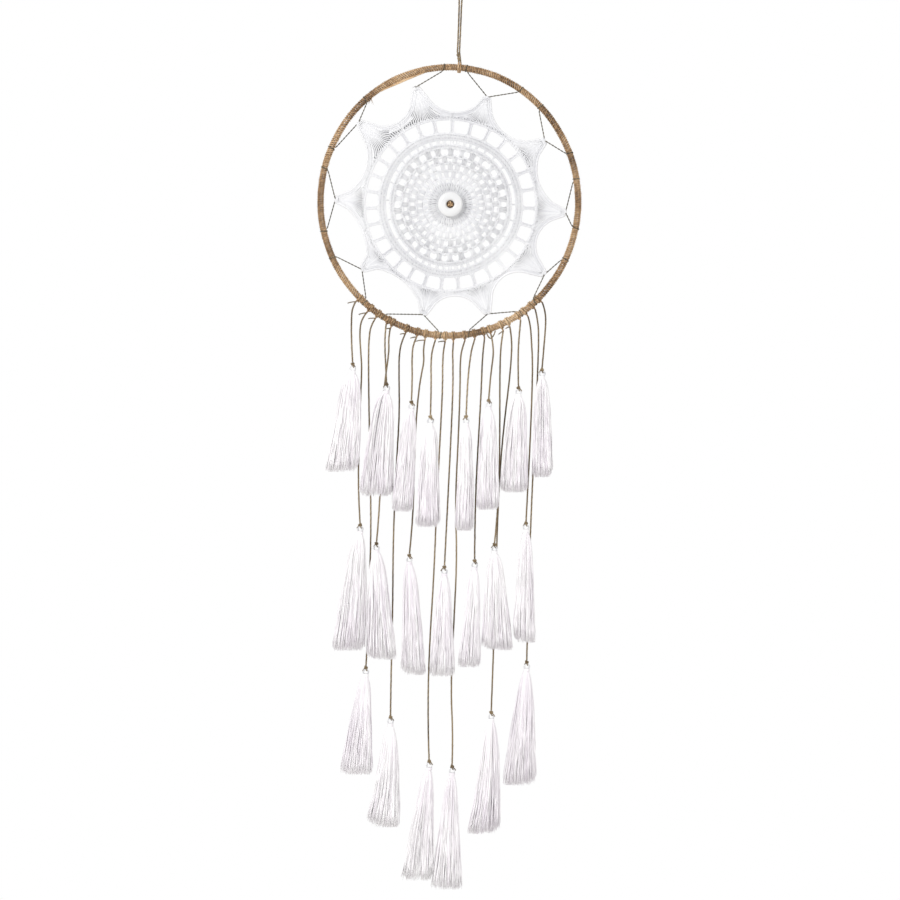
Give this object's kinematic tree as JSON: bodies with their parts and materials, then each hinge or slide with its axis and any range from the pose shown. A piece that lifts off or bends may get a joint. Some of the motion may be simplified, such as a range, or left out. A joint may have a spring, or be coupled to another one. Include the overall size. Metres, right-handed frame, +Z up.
{
  "type": "dream catcher",
  "caption": "Wall-hung dream catcher: a jute-wrapped hoop with a laced crocheted doily and centre bead, hung on a cord loop, with rows of white tassels on long strings.",
  "frame": {"origin": "bearing point of the hanging loop: its inner top, where it rests on a nail", "axes": "+Z up along the hanging direction, +X to the right seen from the front, +Y to the back (towards the wall)"},
  "size_m": [0.2942, 0.034, 1.03],
  "materials": {
    "ring_steel": "plain drawn wire, hidden under the jute",
    "jute": "natural jute twine, twisted, slightly hairy, matt",
    "cotton": "white crochet cotton, matt",
    "tassel_thread": "white silky thread with a soft sheen",
    "bead": "glossy white",
    "lacing": "dark grey-brown waxed twine, matt"
  },
  "bodies": {
    "hanging_loop": {"hanging_loop": "jute"},
    "hanging_knot": {"hanging_knot": "jute"},
    "hoop": {"hoop_core": "ring_steel", "hoop_wrap": "jute", "doily": "cotton", "doily_points": "cotton", "centre_bead": "bead", "bead_tie": "jute", "lacing_twine": "lacing", "string_hitches": "jute", "hanger_hitch": "jute"},
    "string_01": {"string_01": "jute"},
    "tassel_01": {"tassel_01": "tassel_thread"},
    "string_02": {"string_02": "jute"},
    "tassel_02": {"tassel_02": "tassel_thread"},
    "string_03": {"string_03": "jute"},
    "tassel_03": {"tassel_03": "tassel_thread"},
    "string_04": {"string_04": "jute"},
    "tassel_04": {"tassel_04": "tassel_thread"},
    "string_05": {"string_05": "jute"},
    "tassel_05": {"tassel_05": "tassel_thread"},
    "string_06": {"string_06": "jute"},
    "tassel_06": {"tassel_06": "tassel_thread"},
    "string_07": {"string_07": "jute"},
    "tassel_07": {"tassel_07": "tassel_thread"},
    "string_08": {"string_08": "jute"},
    "tassel_08": {"tassel_08": "tassel_thread"},
    "string_09": {"string_09": "jute"},
    "tassel_09": {"tassel_09": "tassel_thread"},
    "string_10": {"string_10": "jute"},
    "tassel_10": {"tassel_10": "tassel_thread"},
    "string_11": {"string_11": "jute"},
    "tassel_11": {"tassel_11": "tassel_thread"},
    "string_12": {"string_12": "jute"},
    "tassel_12": {"tassel_12": "tassel_thread"},
    "string_13": {"string_13": "jute"},
    "tassel_13": {"tassel_13": "tassel_thread"},
    "string_14": {"string_14": "jute"},
    "tassel_14": {"tassel_14": "tassel_thread"},
    "string_15": {"string_15": "jute"},
    "tassel_15": {"tassel_15": "tassel_thread"},
    "string_16": {"string_16": "jute"},
    "tassel_16": {"tassel_16": "tassel_thread"},
    "string_17": {"string_17": "jute"},
    "tassel_17": {"tassel_17": "tassel_thread"},
    "string_18": {"string_18": "jute"},
    "tassel_18": {"tassel_18": "tassel_thread"},
    "string_19": {"string_19": "jute"},
    "tassel_19": {"tassel_19": "tassel_thread"},
    "string_20": {"string_20": "jute"},
    "tassel_20": {"tassel_20": "tassel_thread"},
    "string_21": {"string_21": "jute"},
    "tassel_21": {"tassel_21": "tassel_thread"}
  },
  "joints": [
    {"name": "hanger_twist", "type": "hinge", "parent": "hanging_loop", "child": "hanging_knot", "pos_m": [-0.0039, 0, -0.103], "axis": [0, 0, 1], "range_deg": [-180, 180]},
    {"name": "hoop_swing", "type": "hinge", "parent": "hanging_knot", "child": "hoop", "pos_m": [-0.0026, 0, -0.1124], "axis": [1, 0, 0], "range_deg": [-30, 30]},
    {"name": "string_01_swing", "type": "hinge", "parent": "hoop", "child": "string_01", "pos_m": [-0.1178, -0.00436, -0.37947], "axis": [-1, 0, 0], "range_deg": [0, 45]},
    {"name": "tassel_01_swing", "type": "hinge", "parent": "string_01", "child": "tassel_01", "pos_m": [-0.121, -0.011, -0.449], "axis": [-1, 0, 0], "range_deg": [0, 60]},
    {"name": "string_02_swing", "type": "hinge", "parent": "hoop", "child": "string_02", "pos_m": [-0.10627, 0, -0.39185], "axis": [-1, 0, 0], "range_deg": [0, 45]},
    {"name": "tassel_02_swing", "type": "hinge", "parent": "string_02", "child": "tassel_02", "pos_m": [-0.113, 0, -0.627], "axis": [-1, 0, 0], "range_deg": [0, 60]},
    {"name": "string_03_swing", "type": "hinge", "parent": "hoop", "child": "string_03", "pos_m": [-0.09626, 0.00436, -0.39763], "axis": [1, 0, 0], "range_deg": [0, 45]},
    {"name": "tassel_03_swing", "type": "hinge", "parent": "string_03", "child": "tassel_03", "pos_m": [-0.107, 0.009, -0.786], "axis": [1, 0, 0], "range_deg": [-60, 60]},
    {"name": "string_04_swing", "type": "hinge", "parent": "hoop", "child": "string_04", "pos_m": [-0.08418, -0.00436, -0.40511], "axis": [-1, 0, 0], "range_deg": [0, 45]},
    {"name": "tassel_04_swing", "type": "hinge", "parent": "string_04", "child": "tassel_04", "pos_m": [-0.0835, -0.011, -0.471], "axis": [-1, 0, 0], "range_deg": [0, 60]},
    {"name": "string_05_swing", "type": "hinge", "parent": "hoop", "child": "string_05", "pos_m": [-0.07963, 0, -0.40906], "axis": [-1, 0, 0], "range_deg": [0, 45]},
    {"name": "tassel_05_swing", "type": "hinge", "parent": "string_05", "child": "tassel_05", "pos_m": [-0.095, 0, -0.648], "axis": [-1, 0, 0], "range_deg": [0, 60]},
    {"name": "string_06_swing", "type": "hinge", "parent": "hoop", "child": "string_06", "pos_m": [-0.06299, 0.00436, -0.4147], "axis": [1, 0, 0], "range_deg": [0, 45]},
    {"name": "tassel_06_swing", "type": "hinge", "parent": "string_06", "child": "tassel_06", "pos_m": [-0.0795, 0.009, -0.841], "axis": [1, 0, 0], "range_deg": [-60, 60]},
    {"name": "string_07_swing", "type": "hinge", "parent": "hoop", "child": "string_07", "pos_m": [-0.0503, -0.00436, -0.41861], "axis": [-1, 0, 0], "range_deg": [0, 45]},
    {"name": "tassel_07_swing", "type": "hinge", "parent": "string_07", "child": "tassel_07", "pos_m": [-0.056, -0.011, -0.491], "axis": [-1, 0, 0], "range_deg": [0, 60]},
    {"name": "string_08_swing", "type": "hinge", "parent": "hoop", "child": "string_08", "pos_m": [-0.04125, 0, -0.42204], "axis": [-1, 0, 0], "range_deg": [0, 45]},
    {"name": "tassel_08_swing", "type": "hinge", "parent": "string_08", "child": "tassel_08", "pos_m": [-0.0585, 0, -0.661], "axis": [-1, 0, 0], "range_deg": [0, 60]},
    {"name": "string_09_swing", "type": "hinge", "parent": "hoop", "child": "string_09", "pos_m": [-0.02962, -0.00436, -0.42238], "axis": [-1, 0, 0], "range_deg": [0, 45]},
    {"name": "tassel_09_swing", "type": "hinge", "parent": "string_09", "child": "tassel_09", "pos_m": [-0.035, -0.011, -0.507], "axis": [-1, 0, 0], "range_deg": [0, 60]},
    {"name": "string_10_swing", "type": "hinge", "parent": "hoop", "child": "string_10", "pos_m": [-0.01867, 0.00436, -0.42315], "axis": [1, 0, 0], "range_deg": [0, 45]},
    {"name": "tassel_10_swing", "type": "hinge", "parent": "string_10", "child": "tassel_10", "pos_m": [-0.0365, 0.009, -0.89], "axis": [1, 0, 0], "range_deg": [-60, 60]},
    {"name": "string_11_swing", "type": "hinge", "parent": "hoop", "child": "string_11", "pos_m": [-0.00956, 0, -0.42453], "axis": [-1, 0, 0], "range_deg": [0, 45]},
    {"name": "tassel_11_swing", "type": "hinge", "parent": "string_11", "child": "tassel_11", "pos_m": [-0.0195, 0, -0.674], "axis": [-1, 0, 0], "range_deg": [0, 60]},
    {"name": "string_12_swing", "type": "hinge", "parent": "hoop", "child": "string_12", "pos_m": [0.00325, 0.00436, -0.4222], "axis": [1, 0, 0], "range_deg": [0, 45]},
    {"name": "tassel_12_swing", "type": "hinge", "parent": "string_12", "child": "tassel_12", "pos_m": [-0.011, 0.009, -0.896], "axis": [1, 0, 0], "range_deg": [-60, 60]},
    {"name": "string_13_swing", "type": "hinge", "parent": "hoop", "child": "string_13", "pos_m": [0.01433, -0.00436, -0.42043], "axis": [-1, 0, 0], "range_deg": [0, 45]},
    {"name": "tassel_13_swing", "type": "hinge", "parent": "string_13", "child": "tassel_13", "pos_m": [0.0045, -0.011, -0.507], "axis": [-1, 0, 0], "range_deg": [0, 60]},
    {"name": "string_14_swing", "type": "hinge", "parent": "hoop", "child": "string_14", "pos_m": [0.02504, 0, -0.4193], "axis": [-1, 0, 0], "range_deg": [0, 45]},
    {"name": "tassel_14_swing", "type": "hinge", "parent": "string_14", "child": "tassel_14", "pos_m": [0.014, 0, -0.667], "axis": [-1, 0, 0], "range_deg": [0, 60]},
    {"name": "string_15_swing", "type": "hinge", "parent": "hoop", "child": "string_15", "pos_m": [0.03219, -0.00436, -0.41567], "axis": [-1, 0, 0], "range_deg": [0, 45]},
    {"name": "tassel_15_swing", "type": "hinge", "parent": "string_15", "child": "tassel_15", "pos_m": [0.0295, -0.011, -0.489], "axis": [-1, 0, 0], "range_deg": [0, 60]},
    {"name": "string_16_swing", "type": "hinge", "parent": "hoop", "child": "string_16", "pos_m": [0.04578, 0, -0.41183], "axis": [-1, 0, 0], "range_deg": [0, 45]},
    {"name": "tassel_16_swing", "type": "hinge", "parent": "string_16", "child": "tassel_16", "pos_m": [0.036, 0, -0.649], "axis": [-1, 0, 0], "range_deg": [0, 60]},
    {"name": "string_17_swing", "type": "hinge", "parent": "hoop", "child": "string_17", "pos_m": [0.05314, 0.00436, -0.40674], "axis": [1, 0, 0], "range_deg": [0, 45]},
    {"name": "tassel_17_swing", "type": "hinge", "parent": "string_17", "child": "tassel_17", "pos_m": [0.0325, 0.009, -0.836], "axis": [1, 0, 0], "range_deg": [-60, 60]},
    {"name": "string_18_swing", "type": "hinge", "parent": "hoop", "child": "string_18", "pos_m": [0.06499, -0.00436, -0.39982], "axis": [-1, 0, 0], "range_deg": [0, 45]},
    {"name": "tassel_18_swing", "type": "hinge", "parent": "string_18", "child": "tassel_18", "pos_m": [0.0625, -0.011, -0.475], "axis": [-1, 0, 0], "range_deg": [0, 60]},
    {"name": "string_19_swing", "type": "hinge", "parent": "hoop", "child": "string_19", "pos_m": [0.07332, 0, -0.3957], "axis": [-1, 0, 0], "range_deg": [0, 45]},
    {"name": "tassel_19_swing", "type": "hinge", "parent": "string_19", "child": "tassel_19", "pos_m": [0.071, 0, -0.625], "axis": [-1, 0, 0], "range_deg": [0, 60]},
    {"name": "string_20_swing", "type": "hinge", "parent": "hoop", "child": "string_20", "pos_m": [0.08134, 0.00436, -0.38747], "axis": [1, 0, 0], "range_deg": [0, 45]},
    {"name": "tassel_20_swing", "type": "hinge", "parent": "string_20", "child": "tassel_20", "pos_m": [0.072, 0.009, -0.78], "axis": [1, 0, 0], "range_deg": [-60, 60]},
    {"name": "string_21_swing", "type": "hinge", "parent": "hoop", "child": "string_21", "pos_m": [0.08902, -0.00436, -0.38026], "axis": [-1, 0, 0], "range_deg": [0, 45]},
    {"name": "tassel_21_swing", "type": "hinge", "parent": "string_21", "child": "tassel_21", "pos_m": [0.0885, -0.011, -0.455], "axis": [-1, 0, 0], "range_deg": [0, 60]}
  ],
  "couplings": [
    {"joint": "string_05_swing", "follows": "string_04_swing", "ratio": 1}
  ]
}
